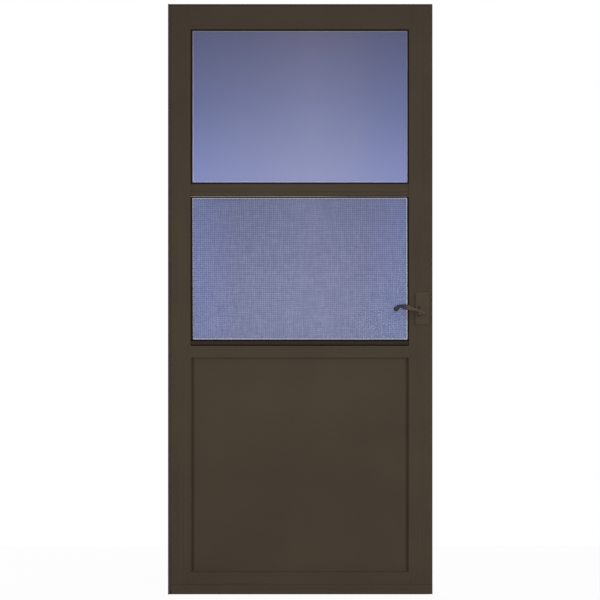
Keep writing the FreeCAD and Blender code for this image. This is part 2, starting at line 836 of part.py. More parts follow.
def make_lever_boss(body):
    """The neck that turns in the plate and the hub under the blade, turned round the spindle's axis."""
    hub_front = "-lever_standoff"
    hub_back = "hub_depth - lever_standoff"
    sketch = sketch_at(body, "boss_sketch", "Z", "hub_height")
    outline(
        ("hub_x", hub_front), ("hub_x + hub_radius - hub_edge", hub_front),
        ("hub_x + hub_radius", f"{hub_front} + hub_edge"), ("hub_x + hub_radius", hub_back),
        ("hub_x + neck_radius", hub_back), ("hub_x + neck_radius", "0"), ("hub_x", "0"),
    )(sketch)
    axis = sketch.addGeometry(Part.LineSegment(
        FreeCAD.Vector(number("hub_x"), number(hub_front), 0), FreeCAD.Vector(number("hub_x"), 0, 0),
    ), True)
    hold_point(sketch, axis, 1, "hub_x", hub_front)
    hold_point(sketch, axis, 2, "hub_x", "0")
    boss = body.newObject("PartDesign::Revolution", "boss")
    boss.Profile = sketch
    boss.ReferenceAxis = (sketch, ["Axis0"])
    boss.Angle = 360
    sketch.Visibility = False
    doc.recompute()


def make_levers():
    """A cast lever: a blade that rises from its tail to a crown and curls over to its tip, on a boss."""
    body = new_body("exterior_lever")
    through = ("-lever_standoff - lever_depth / 2", "lever_depth / 2 - lever_standoff")
    spots = {name: (f"hub_x - {name}_reach", f"hub_height + {name}_rise") for name in LEVER_CORNERS}
    blade = extrude(body, "blade", "Y", *through, outline(*spots.values()))
    for bend, corners in LEVER_BENDS.items():
        edges = []
        for across, up in (spots[name] for name in corners):
            edges += edges_within(blade, (across, across), through, (up, up))
        blade = soften(body, "Fillet", bend, blade, bend, edges)
    across = (spots["tip_top"][0], spots["tail_top"][0])
    up = (spots["tail_foot"][1], spots["crown"][1])
    rims = []
    for face in through:
        rims += edges_within(blade, across, (face, face), up)
    soften(body, "Chamfer", "edge_bevel", blade, "lever_edge", rims)
    make_lever_boss(body)
    mirror_inside("interior_lever", body)
    half = "spindle_width / 2"
    keep(slab(
        "lever_spindle", (f"hub_x - {half}", f"hub_x + {half}"), ("0", "leaf_thickness"),
        (f"hub_height - {half}", f"hub_height + {half}"),
    ))


def make_latch():
    """Latch bolt drawn back into its faceplate, and the strike on the rail across from it."""
    edge = ("leaf_right - tube_wall", "leaf_right")
    bolt_y = ("latch_middle - bolt_width / 2", "latch_middle + bolt_width / 2")
    bolt_z = ("hub_height - bolt_height / 2", "hub_height + bolt_height / 2")
    plate = slab(
        "latch_faceplate_blank", edge,
        ("latch_middle - faceplate_width / 2", "latch_middle + faceplate_width / 2"),
        ("hub_height - faceplate_height / 2", "hub_height + faceplate_height / 2"),
    )
    keep(cut_away("latch_faceplate", plate, slab("latch_faceplate_hole", edge, bolt_y, bolt_z)))
    body = new_body("latch_bolt")
    root = "leaf_right - bolt_length"
    extrude(
        body, "bolt", "Z", *bolt_z,
        outline(
            (root, bolt_y[0]), ("leaf_right", bolt_y[0]), ("leaf_right", f"{bolt_y[1]} - bolt_bevel"),
            ("leaf_right - bolt_bevel / 2", bolt_y[1]), (root, bolt_y[1]),
        ),
    )
    strike_x = ("overall_width - rail_sheet - strike_sheet", "overall_width - rail_sheet")
    strike = slab(
        "strike_blank", strike_x,
        ("rail_front", "rail_front + strike_width"),
        ("hub_height - strike_height / 2", "hub_height + strike_height / 2"),
    )
    keep(cut_away("strike_plate", strike, slab("strike_hole", strike_x, bolt_y, bolt_z)))


def check_and_write():
    """Stop on any failed object or bad shape, then write one file for each piece."""
    doc.recompute()
    failed = [item.Name for item in doc.Objects if {"Invalid", "Error"} & set(item.State)]
    if failed:
        raise RuntimeError(f"failed objects: {failed}")
    for piece in pieces:
        if piece.Shape.isNull() or not piece.Shape.isValid():
            raise RuntimeError(f"bad shape: {piece.Label}")
    os.makedirs("parts", exist_ok=True)
    for piece in pieces:
        piece.Shape.exportStep(f"parts/{piece.Label}.step")
        print(piece.Label, len(piece.Shape.Solids), round(piece.Shape.Volume / 1000, 2), "cm3")


fill_sheet()
make_side_rails()
make_head_rail()
make_seals()
make_hinge()
make_hinge_stile()
make_latch_stile()
make_leaf_rails()
make_expander()
make_upper_glass()
make_screen()
make_sash()
make_kick_panel()
make_plates()
make_levers()
make_latch()
check_and_write()
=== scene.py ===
"""Aluminium storm door: finishes, fine pieces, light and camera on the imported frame, in metres."""
import json
import math

import bmesh
import bpy
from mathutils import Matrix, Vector, noise


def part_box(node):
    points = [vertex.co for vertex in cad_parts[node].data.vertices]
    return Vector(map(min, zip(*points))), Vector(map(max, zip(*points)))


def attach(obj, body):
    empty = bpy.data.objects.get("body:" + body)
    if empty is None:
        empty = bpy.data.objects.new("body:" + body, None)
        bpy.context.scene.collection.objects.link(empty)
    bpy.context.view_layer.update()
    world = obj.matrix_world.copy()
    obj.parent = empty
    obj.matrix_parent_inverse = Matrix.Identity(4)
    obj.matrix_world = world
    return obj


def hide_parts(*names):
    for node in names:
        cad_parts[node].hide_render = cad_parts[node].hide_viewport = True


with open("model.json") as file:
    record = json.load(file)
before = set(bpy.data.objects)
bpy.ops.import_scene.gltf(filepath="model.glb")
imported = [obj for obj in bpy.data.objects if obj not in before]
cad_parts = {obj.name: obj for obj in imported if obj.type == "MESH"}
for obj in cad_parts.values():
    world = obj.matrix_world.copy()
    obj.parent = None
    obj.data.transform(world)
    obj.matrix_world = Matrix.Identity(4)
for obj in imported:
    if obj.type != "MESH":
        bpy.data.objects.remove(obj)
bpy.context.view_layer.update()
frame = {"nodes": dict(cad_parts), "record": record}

MM = 0.001
RIGHT, UP = Vector((1, 0, 0)), Vector((0, 0, 1))
HUB = Vector((871, 0, 977.5)) * MM  # where the levers' axis meets the door's outer face


def linear(colour):
    """A hex sRGB colour as linear red, green, blue and alpha."""
    parts = [int(colour[i:i + 2], 16) / 255 for i in (1, 3, 5)]
    return (*[c / 12.92 if c <= 0.04045 else ((c + 0.055) / 1.055) ** 2.4 for c in parts], 1.0)


def add(tree, kind, inputs=(), **settings):
    """One node with its settings, and its inputs by name or number as values, hex colours or links."""
    made = tree.nodes.new(kind)
    for name, value in settings.items():
        setattr(made, name, value)
    for socket, value in dict(inputs).items():
        if isinstance(value, bpy.types.NodeSocket):
            tree.links.new(value, made.inputs[socket])
        else:
            made.inputs[socket].default_value = linear(value) if isinstance(value, str) else value
    return made


# What finishes share
def finish(name, **values):
    """A new material: its tree, its shader with the given values, and Object coordinates."""
    made = bpy.data.materials.new(name)
    made.use_nodes = True
    tree = made.node_tree
    tree.nodes.clear()
    shader = add(tree, "ShaderNodeBsdfPrincipled", {k.replace("_", " "): v for k, v in values.items()})
    add(tree, "ShaderNodeOutputMaterial", {"Surface": shader.outputs[0]})
    place = add(tree, "ShaderNodeTexCoord").outputs["Object"]
    return made, tree, shader, place


def grain(tree, place, width, detail=2.0, length=None, along=2):
    """Smooth noise whose blotches are about a width across, or drawn out to a length along one axis."""
    scale = [1 / width] * 3
    scale[along] = 1 / (length or width)
    fitted = add(tree, "ShaderNodeMapping", {"Vector": place, "Scale": scale}).outputs[0]
    made = add(tree, "ShaderNodeTexNoise", {"Vector": fitted, "Scale": 1.0, "Detail": detail})
    return made.outputs["Fac"]


def blend(tree, first, second, *shares, counts="MULTIPLY"):
    """The colour from a first to a second, hex or linked. A share is a link, or a value with the start
    and the end that are laid over a low and a high share. Several are multiplied, or the larger
    counts."""
    whole = None
    for share in shares:
        if isinstance(share, tuple):
            value, start, end, low, high = share
            share = add(tree, "ShaderNodeMapRange", {
                "Value": value, "From Min": start, "From Max": end, "To Min": low, "To Max": high,
            }).outputs[0]
        if whole is None:
            whole = share
        else:
            whole = add(tree, "ShaderNodeMath", {0: whole, 1: share}, operation=counts).outputs[0]
    return add(tree, "ShaderNodeMix", {0: whole, 6: first, 7: second}, data_type="RGBA").outputs[2]


def away(tree, place, line):
    """How far a coordinate lies from a line, on either side."""
    apart = add(tree, "ShaderNodeMath", {0: place, 1: line}, operation="SUBTRACT").outputs[0]
    return add(tree, "ShaderNodeMath", {0: apart}, operation="ABSOLUTE").outputs[0]


def relief(tree, shader, height, strength, depth, round_edges=0.0):
    """Bumps on a surface, on edges that shade as rounded."""
    values = {"Height": height, "Strength": strength, "Distance": depth}
    if round_edges:
        values["Normal"] = add(tree, "ShaderNodeBevel", {"Radius": round_edges}, samples=4).outputs[0]
    tree.links.new(add(tree, "ShaderNodeBump", values).outputs[0], shader.inputs["Normal"])


# Painted aluminium
EDGE_ROUND = 0.5 * MM
PEEL_WIDTH = 3 * MM  # the real orange peel is about 0.8 mm wide, drawn coarser so that it shows
DIE_LINE_WIDTH = 5 * MM  # real die lines are under 1 mm apart, drawn coarser so that they show
DIE_LINE_LENGTH = 700 * MM
CLOUD_WIDTH = 260 * MM
PAINT_DARK, PAINT_PALE = "#362d23", "#42392d"
LIFT_BAR_HEAD = 5 * MM  # under the spline
LIFT_BAR_FACE = 1 * MM  # behind the frontmost face of the insert
HIGHLIGHT_HEAD, HIGHLIGHT_EDGE = 1.3 * MM, 1.0 * MM  # painted highlight, under the head of the insert
HIGHLIGHT_HARD, HIGHLIGHT_SOFT = 520 * MM, 620 * MM  # painted highlight, strongest on the left and fading across the door


def baked_paint(name, dark, pale, along=None, roughness=0.5, gloss=0.18):
    """Baked enamel on aluminium: an even satin brown, with faint die lines along an extrusion, a fine
    orange peel in the gloss and softened edges that catch the light."""
    made, tree, shader, place = finish(name, Specular_IOR_Level=gloss)
    share = grain(tree, place, CLOUD_WIDTH, 3.0)
    if along is not None:
        lines = grain(tree, place, DIE_LINE_WIDTH, length=DIE_LINE_LENGTH, along=along)
        both = add(tree, "ShaderNodeMath", {0: share, 1: lines}, operation="ADD").outputs[0]
        share = (both, 0.5, 1.5, 0.0, 1.0)
    tree.links.new(blend(tree, dark, pale, share), shader.inputs["Base Color"])
    peel = grain(tree, place, PEEL_WIDTH, 1.0)
    satin = add(tree, "ShaderNodeMapRange", {
        "Value": peel, "To Min": roughness - 0.05, "To Max": roughness + 0.07,
    })
    tree.links.new(satin.outputs[0], shader.inputs["Roughness"])
    relief(tree, shader, peel, strength=0.05, depth=0.3 * MM, round_edges=EDGE_ROUND)
    return made, tree, shader, place


def screen_bar_paint():
    """The insert's black enamel, nearly without gloss: the face of its lift bar a dark brown, and a
    painted highlight along its head, strongest on the left."""
    made, tree, shader, place = baked_paint(
        "baked_black_paint", "#0b0a0a", "#121010", along=0, roughness=0.5, gloss=0.12,
    )
    low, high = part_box("screen_frame")
    bar_head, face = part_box("screen_spline")[0].z - LIFT_BAR_HEAD, low.y + LIFT_BAR_FACE
    split = add(tree, "ShaderNodeSeparateXYZ", {"Vector": place}).outputs
    under = add(tree, "ShaderNodeMath", {0: split["Z"], 1: bar_head}, operation="LESS_THAN").outputs[0]
    front = add(tree, "ShaderNodeMath", {0: split["Y"], 1: face}, operation="LESS_THAN").outputs[0]
    black = shader.inputs["Base Color"].links[0].from_socket
    tone = blend(tree, black, "#29221a", under, front)
    # a painted highlight along the head of the insert, strongest on the left
    tone = blend(
        tree, tone, "#aeaca6",
        (split["Z"], high.z - HIGHLIGHT_HEAD, high.z - HIGHLIGHT_EDGE, 0.0, 1.0),
        (split["X"], HIGHLIGHT_HARD, HIGHLIGHT_SOFT, 0.9, 0.4),
    )
    tree.links.new(tone, shader.inputs["Base Color"])
    return made


# Cast metal
CAST_GRAIN = 1.6 * MM  # real cast grain is about 0.3 mm, drawn coarser so that it shows
WEAR_WIDTH = 6 * MM
PLATE_BEVEL, BEVEL_BLUR = 2.5 * MM, 0.5 * MM
GRIP_END, ROOT_START = 58 * MM, 43 * MM  # from the levers' axis


def painted_casting():
    """Brown paint over a zinc die casting: a fine pebbled skin under a slightly glossier coat, with a
    painted highlight on the bevels at the head and the foot of a plate, so that they hardly stand out."""
    made, tree, shader, place = finish("painted_die_casting", Roughness=0.4, Specular_IOR_Level=0.2)
    skin = grain(tree, place, CAST_GRAIN)
    low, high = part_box("exterior_plate")
    up = add(tree, "ShaderNodeSeparateXYZ", {"Vector": place}).outputs["Z"]
    bevel = (high.z - low.z) / 2 - PLATE_BEVEL
    tone = blend(tree, "#372e22", "#453b2e", skin)
    # painted highlight on the plate's bevels at its head and foot
    bevel_highlight = (away(tree, up, (low.z + high.z) / 2), bevel, bevel + BEVEL_BLUR, 0.0, 0.8)
    tree.links.new(blend(tree, tone, "#584c3b", bevel_highlight), shader.inputs["Base Color"])
    relief(tree, shader, skin, strength=0.08, depth=0.2 * MM, round_edges=EDGE_ROUND)
    return made


def lever_coat():
    """The lever's coat: the plate's brown at its hub, darker and greyer where the hand takes hold."""
    made, tree, shader, place = finish("handled_die_casting", Specular_IOR_Level=0.18)
    wear = grain(tree, place, WEAR_WIDTH)
    across = add(tree, "ShaderNodeSeparateXYZ", {"Vector": place}).outputs["X"]
    grip = blend(tree, "#2a272b", "#363337", wear)
    root = blend(tree, "#433930", "#4e4338", wear)
    tone = blend(tree, grip, root, (across, HUB.x - GRIP_END, HUB.x - ROOT_START, 0.0, 1.0))
    tree.links.new(tone, shader.inputs["Base Color"])
    satin = add(tree, "ShaderNodeMapRange", {"Value": wear, "To Min": 0.38, "To Max": 0.52})
    tree.links.new(satin.outputs[0], shader.inputs["Roughness"])
    relief(tree, shader, grain(tree, place, CAST_GRAIN), strength=0.06, depth=0.2 * MM)
    return made


# Glass
RAIL_MIDDLE = 20 * MM  # over the foot of the meeting rail
PLUME_OFFSET = 45 * MM
PLUME_REACH, SIDE_START = 0.28, 0.25  # shares of the pane's width
PANE_WAVE = 180 * MM


def sky(tree, height, *stops):
    """Colours up a pane, each at its height."""
    (below, tone), *others = stops
    for above, colour in others:
        tone = blend(tree, tone, colour, (height, below, above, 0.0, 1.0))
        below = above
    return tone


def painted_sky_reflection(tree, place):
    """A painted reflection of the sky in the panes: deep at the head of each and pale at its foot,
    greyer in a plume a little right of the middle and bluer towards the sides."""
    foot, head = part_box("sash_glass")[0].z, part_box("upper_glass")[1].z
    left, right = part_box("upper_glass")[0].x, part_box("upper_glass")[1].x
    joint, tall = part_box("meeting_rail")[0].z + RAIL_MIDDLE, head - foot
    middle, wide = (left + right) / 2, right - left
    split = add(tree, "ShaderNodeSeparateXYZ", {"Vector": place}).outputs
    # painted sky reflection, pale at the foot of each pane and deep at its head
    tone = sky(
        tree, split["Z"],
        (foot, "#949dcc"), (joint - 0.01 * tall, "#7981b0"), (joint + 0.02 * tall, "#949ccc"),
        (foot + 0.78 * tall, "#747ba8"), (head, "#5a5d83"),
    )
    halfway = (joint + head) / 2
    plume = sky(tree, split["Z"], (joint, "#a6abd2"), (halfway, "#8a8fb8"), (head, "#716b90"))
    sides = sky(tree, split["Z"], (joint, "#8492d4"), (halfway, "#606ca6"), (head, "#4e5486"))
    off_plume = away(tree, split["X"], middle + PLUME_OFFSET)
    tone = blend(tree, tone, plume, (off_plume, 0.0, wide * PLUME_REACH, 0.5, 0.0))
    off_middle = away(tree, split["X"], middle)
    return blend(tree, tone, sides, (off_middle, wide * SIDE_START, wide / 2, 0.0, 0.5))


def float_glass():
    """Float glass coloured with a painted reflection of the pale blue sky, with the slight waviness of a
    drawn pane.
    """
    made, tree, shader, place = finish(
        "float_glass_with_painted_sky", Roughness=0.04, IOR=1.5, Transmission_Weight=0.5,
    )
    tree.links.new(painted_sky_reflection(tree, place), shader.inputs["Base Color"])
    relief(tree, shader, grain(tree, place, PANE_WAVE, 1.0), strength=0.05, depth=2 * MM)
    return made


# Vinyl and plastic
LIP_SIDE, LIP_FOOT, LIP_HEAD = 15.6 * MM, 3.4 * MM, 13.4 * MM  # in from the gasket's outer edges
LIP_WIDTH = 3.2 * MM
ROOT_LEFT, ROOT_HEAD, ROOT_BLUR = 1.5 * MM, 2.3 * MM, 0.2 * MM
LIP_MOTTLE = 6 * MM
SPLINE_FOOT_SHIFT, SPLINE_HEAD_SHIFT = 1.4 * MM, -0.3 * MM
SHADE_SIDE, SHADE_HEAD, SHADE_BLUR = 1.7 * MM, 1.3 * MM, 0.5 * MM
PALER_START, PALER_END = 12 * MM, 8 * MM  # in from the spline's right edge


def moulded(name, dark, pale, width, roughness, gloss=0.25):
    """Soft vinyl or moulded plastic: matte, with a fine even grain that breaks up its sheen."""
    made, tree, shader, place = finish(name, Roughness=roughness, Specular_IOR_Level=gloss)
    skin = grain(tree, place, width, 3.0)
    tree.links.new(blend(tree, dark, pale, skin), shader.inputs["Base Color"])
    relief(tree, shader, skin, strength=0.15, depth=0.2 * MM)
    return made, tree, shader, place


def bedded_spline():
    """Grey vinyl cord pressed a little askew into its groove, with painted shade where it beds against
    the frame at its head and its two sides, and paler up its right run."""
    made, tree, shader, place = moulded("extruded_grey_vinyl", "#9a9aac", "#aeaec0", 2 * MM, 0.65)
    low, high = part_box("screen_spline")
    half = (high.x - low.x) / 2
    split = add(tree, "ShaderNodeSeparateXYZ", {"Vector": place}).outputs
    shift = add(tree, "ShaderNodeMapRange", {
        "Value": split["Z"], "From Min": low.z, "From Max": high.z,
        "To Min": SPLINE_FOOT_SHIFT, "To Max": SPLINE_HEAD_SHIFT,
    }).outputs[0]
    across = add(tree, "ShaderNodeMath", {0: split["X"], 1: shift}, operation="SUBTRACT").outputs[0]
    # paler up its right run, more towards its head
    tone = blend(
        tree, shader.inputs["Base Color"].links[0].from_socket, "#c4c0d6",
        (split["X"], high.x - PALER_START, high.x - PALER_END, 0.0, 1.0),
        (split["Z"], low.z, high.z, 0.25, 0.85),
    )
    # painted shade along the frame at the head and the two sides, shifted with the cord's lean
    tone = blend(
        tree, tone, "#18181a",
        (away(tree, across, low.x + half), half - SHADE_SIDE, half - SHADE_SIDE + SHADE_BLUR, 0.0, 1.0),
        (split["Z"], high.z - SHADE_HEAD, high.z - SHADE_HEAD + SHADE_BLUR, 0.0, 1.0),
        counts="MAXIMUM",
    )
    tree.links.new(tone, shader.inputs["Base Color"])
    return made


def lip_outline():
    """The lowest and highest corners of the lip's outer edge, where it leaves the gasket."""
    low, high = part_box("glass_gasket")
    return low + Vector((LIP_SIDE, 0, LIP_FOOT)), high - Vector((LIP_SIDE, 0, LIP_HEAD))


def clear_lip():
    """The gasket's soft clear lip: coloured with the panes' painted sky reflection, paler towards its
    foot, and black along its root at the head and on the left."""
    made, tree, shader, place = finish("clear_vinyl_lip", Roughness=0.45, Specular_IOR_Level=0.3)
    low, high = lip_outline()
    left, head = low.x + ROOT_LEFT, high.z - ROOT_HEAD
    split = add(tree, "ShaderNodeSeparateXYZ", {"Vector": place}).outputs
    # the panes' painted sky reflection, paler towards the foot
    tone = blend(tree, painted_sky_reflection(tree, place), "#cdc4cb", (split["Z"], low.z, high.z, 0.5, 0.2))
    tone = blend(tree, tone, "#6c6878", (grain(tree, place, LIP_MOTTLE), 0.0, 1.0, 0.0, 0.15))
    tone = blend(
        tree, tone, "#0d0d0e",
        (split["X"], left - ROOT_BLUR, left + ROOT_BLUR, 1.0, 0.0),
        (split["Z"], head - ROOT_BLUR, head + ROOT_BLUR, 0.0, 1.0),
        counts="MAXIMUM",
    )
    tree.links.new(tone, shader.inputs["Base Color"])
    return made


# Cloth, pile and plated steel
CLOTH_PITCH = 7 * MM  # the real strands are 1.4 mm apart, drawn coarser so that the weave shows
STRAND_TONE_LENGTH, STRAND_MOTTLE = 35 * MM, 9 * MM
CLOTH_PATCH, CLOTH_SHADE = 70 * MM, 300 * MM
PILE_MOTTLE = 4 * MM
BRUSH_WIDTH, BRUSH_LENGTH = 1.5 * MM, 40 * MM  # real brush lines are under 0.1 mm wide, drawn coarser


def screen_weave():
    """Vinyl-coated glass-fibre strands: dull blue-grey, each a little paler or deeper along its length,
    with broad patches that lean to violet, painted shade under the meeting rail and bluer at the two
    sides."""
    made, tree, shader, place = finish(
        "glass_fibre_screen_strands", Roughness=0.6, Specular_IOR_Level=0.2,
    )
    low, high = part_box("insect_screen")
    split = add(tree, "ShaderNodeSeparateXYZ", {"Vector": place}).outputs
    tone = blend(tree, "#737c9b", "#7e7b9d", grain(tree, place, CLOTH_PATCH))
    tone = blend(tree, tone, "#858ba6", grain(tree, place, STRAND_MOTTLE, 1.0))
    for along in (0, 2):
        uneven = grain(tree, place, CLOTH_PITCH, length=STRAND_TONE_LENGTH, along=along)
        tone = blend(tree, tone, "#545c82", (uneven, 0.5, 0.75, 0.0, 0.3))
        tone = blend(tree, tone, "#a9aec8", (uneven, 0.25, 0.5, 0.25, 0.0))
    # painted shade under the meeting rail
    tone = blend(tree, tone, "#5a6080", (split["Z"], high.z - CLOTH_SHADE, high.z, 0.0, 0.35))
    off, reach = away(tree, split["X"], (low.x + high.x) / 2), (high.x - low.x) / 2
    tone = blend(tree, tone, "#8494c0", (off, reach * 0.6, reach, 0.0, 0.3))
    tree.links.new(tone, shader.inputs["Base Color"])
    return made


def pile_fibre():
    """Woven pile: soft charcoal fibres, paler where their tips catch the light."""
    made, tree, shader, place = finish("woven_pile_fibre", Roughness=0.9, Sheen_Weight=0.3)
    tone = blend(tree, "#2c2c2e", "#515154", grain(tree, place, PILE_MOTTLE))
    tree.links.new(tone, shader.inputs["Base Color"])
    return made


def plated(name, dark, pale):
    """A plated steel: a cool metal grey, brushed a little by wear along its length."""
    made, tree, shader, place = finish(name, Metallic=1.0)
    brushed = grain(tree, place, BRUSH_WIDTH, length=BRUSH_LENGTH)
    tree.links.new(blend(tree, dark, pale, brushed), shader.inputs["Base Color"])
    satin = add(tree, "ShaderNodeMapRange", {"Value": brushed, "To Min": 0.24, "To Max": 0.42})
    tree.links.new(satin.outputs[0], shader.inputs["Roughness"])
    return made


# Finishes on the solids
paint_upright = baked_paint("baked_bronze_paint_upright", PAINT_DARK, PAINT_PALE, along=2)[0]
paint_level = baked_paint("baked_bronze_paint_level", PAINT_DARK, PAINT_PALE, along=0)[0]
paint_sheet = baked_paint("baked_bronze_paint_sheet", PAINT_DARK, PAINT_PALE)[0]
casting, coat, glass, lip = painted_casting(), lever_coat(), float_glass(), clear_lip()
strands, pile = screen_weave(), pile_fibre()
black_vinyl = moulded("extruded_black_vinyl", "#0a0a0b", "#151515", 2 * MM, 0.7, gloss=0.12)[0]
nylon = moulded("moulded_black_nylon", "#141414", "#202020", 1.2 * MM, 0.5)[0]
zinc = plated("zinc_plated_steel", "#8d8f90", "#b4b5b3")
black_steel = plated("blackened_steel", "#1c1b1b", "#2c2a29")
brown_screw = plated("bronzed_steel", "#4a3f33", "#66584a")

SLOT_FINISH = {
    "bronze_paint": paint_upright, "dark_paint": screen_bar_paint(), "bronze_casting": casting,
    "window_glass": glass, "black_vinyl": black_vinyl, "grey_vinyl": bedded_spline(),
    "black_plastic": nylon, "pile_seal": pile, "screen_cloth": strands, "plated_steel": zinc,
}
NODE_FINISH = dict.fromkeys((
    "head_rail", "head_stop", "top_rail", "lock_rail", "bottom_rail", "bottom_expander", "meeting_rail",
), paint_level) | dict.fromkeys(("kick_panel", "panel_bead", "sash_frame"), paint_sheet)
for part in frame["record"]["subparts"]:
    for slot in frame["nodes"][part["node"]].material_slots:
        slot.material = NODE_FINISH.get(part["node"], SLOT_FINISH[part["material_slot"]])


# Making pieces
def piece(name, mesh, body, slot_name, material, *nodes):
    """A finished object at the origin that rides on a body, in place of CAD nodes if any are named."""
    mesh.name = name
    mesh.materials.clear()
    mesh.materials.append(material)
    made = bpy.data.objects.new(name, mesh)
    bpy.context.collection.objects.link(made)
    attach(made, body)
    if nodes:
        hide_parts(*nodes)
    return made


def mesh_of(build):
    """A mesh from a bmesh, with its faces turned outwards."""
    bmesh.ops.recalc_face_normals(build, faces=build.faces)
    made = bpy.data.meshes.new("made")
    build.to_mesh(made)
    build.free()
    return made


def joined(*meshes):
    """One mesh of several."""
    build = bmesh.new()
    for mesh in meshes:
        build.from_mesh(mesh)
    made = bpy.data.meshes.new("joined")
    build.to_mesh(made)
    build.free()
    return made


def turned_to(mesh, way):
    """A copy of a mesh that faces along +Z, turned to face another way."""
    made = mesh.copy()
    made.transform(Vector(way).to_track_quat("Z", "Y").to_matrix().to_4x4())
    return made


def turns(sides):
    """The angles of the corners of a regular outline."""
    return [math.tau * side / sides for side in range(sides)]


def rings_to_faces(build, rings, closed=True):
    """Faces between rings of corners, with both ends closed if asked."""
    for near, far in zip(rings, rings[1:]):
        for corner in range(len(near)):
            after = (corner + 1) % len(near)
            build.faces.new((near[corner], near[after], far[after], far[corner]))
    if closed:
        build.faces.new(rings[0])
        build.faces.new(rings[-1])


def edges_round(build, ring):
    """The edges between the corners of a ring."""
    pairs = zip(ring, ring[1:] + ring[:1])
    return [build.edges.get(pair) or build.edges.new(pair) for pair in pairs]


def rows_tree():
    """Copies of a piece in a row of rows, each leaning a little at random."""
    tree = bpy.data.node_groups.new("rows_of_a_piece", "GeometryNodeTree")
    for name, kind in (
        ("Piece", "Geometry"), ("Start", "Vector"), ("Across count", "Int"), ("Across step", "Vector"),
        ("Along count", "Int"), ("Along step", "Vector"), ("Lean", "Vector"), ("Finish", "Material"),
    ):
        tree.interface.new_socket(name, in_out="INPUT", socket_type=f"NodeSocket{kind}")
    tree.interface.new_socket("Rows", in_out="OUTPUT", socket_type="NodeSocketGeometry")
    given = add(tree, "NodeGroupInput").outputs
    across = add(tree, "GeometryNodeMeshLine", {
        "Count": given["Across count"], "Start Location": given["Start"],
        "Offset": given["Across step"],
    })
    along = add(tree, "GeometryNodeMeshLine", {
        "Count": given["Along count"], "Offset": given["Along step"],
    })
    grid = add(tree, "GeometryNodeInstanceOnPoints", {
        "Points": along.outputs[0], "Instance": across.outputs[0],
    })
    spots = add(tree, "GeometryNodeRealizeInstances", {"Geometry": grid.outputs[0]})
    back = add(tree, "ShaderNodeVectorMath", {0: given["Lean"], "Scale": -1.0}, operation="SCALE")
    lean = add(tree, "FunctionNodeRandomValue", {
        "Min": back.outputs[0], "Max": given["Lean"], "Seed": 7,
    }, data_type="FLOAT_VECTOR")
    copies = add(tree, "GeometryNodeInstanceOnPoints", {
        "Points": spots.outputs[0], "Instance": given["Piece"], "Rotation": lean.outputs["Value"],
    })
    whole = add(tree, "GeometryNodeRealizeInstances", {"Geometry": copies.outputs[0]})
    worn = add(tree, "GeometryNodeSetMaterial", {
        "Geometry": whole.outputs[0], "Material": given["Finish"],
    })
    add(tree, "NodeGroupOutput", {"Rows": worn.outputs[0]})
    return tree


ROWS = rows_tree()
ROW_INPUTS = {
    item.name: item.identifier for item in ROWS.interface.items_tree if item.in_out == "INPUT"
}
ONCE = (1, (0, 0, 0))


def in_rows(mesh, material, start, across=ONCE, along=ONCE, lean=(0, 0, 0)):
    """The plain mesh of a piece's copies, counted and stepped across and along from a start."""
    pattern = bpy.data.objects.new("pattern", mesh)
    bpy.context.collection.objects.link(pattern)
    rows = pattern.modifiers.new("rows", "NODES")
    rows.node_group = ROWS
    values = {
        "Start": start, "Across count": across[0], "Across step": across[1],
        "Along count": along[0], "Along step": along[1], "Lean": lean, "Finish": material,
    }
    for name, value in values.items():
        rows[ROW_INPUTS[name]] = value
    depsgraph = bpy.context.evaluated_depsgraph_get()
    made = bpy.data.meshes.new_from_object(pattern.evaluated_get(depsgraph))
    bpy.data.objects.remove(pattern)
    return made


# Insect screen
STRAND_WIDTH, STRAND_DEPTH = 2.4 * MM, 0.8 * MM
WEAVE_DRIFT, DRIFT_WIDTH = 1.6 * MM, 60 * MM
STRAND_STRAY, STRAY_LENGTH = 1.1 * MM, 140 * MM
WARP_STRAY, WEFT_STRAY = 0, 5  # layers of the noise that each strays by
WEAVE_SEED = 7  # without it the drift follows the clock
HELD_EDGE = 20 * MM


def strand_pair(along, across, crossings, length, step):
    """Two neighbouring strands that go over and under what they cross, in opposite turns."""
    build = bmesh.new()
    flank, face = across * (STRAND_WIDTH / 2), Vector((0, STRAND_DEPTH / 2, 0))
    for second in (0, 1):
        rings = []
        for crossing in range(crossings):
            over = (crossing + second + (along.x > 0)) % 2
            middle = along * (length * crossing / (crossings - 1)) + across * (second * step)
            middle += face if over else -face
            rings.append([build.verts.new(middle + side) for side in (flank, face, -flank, -face)])
        rings_to_faces(build, rings)
    return mesh_of(build)


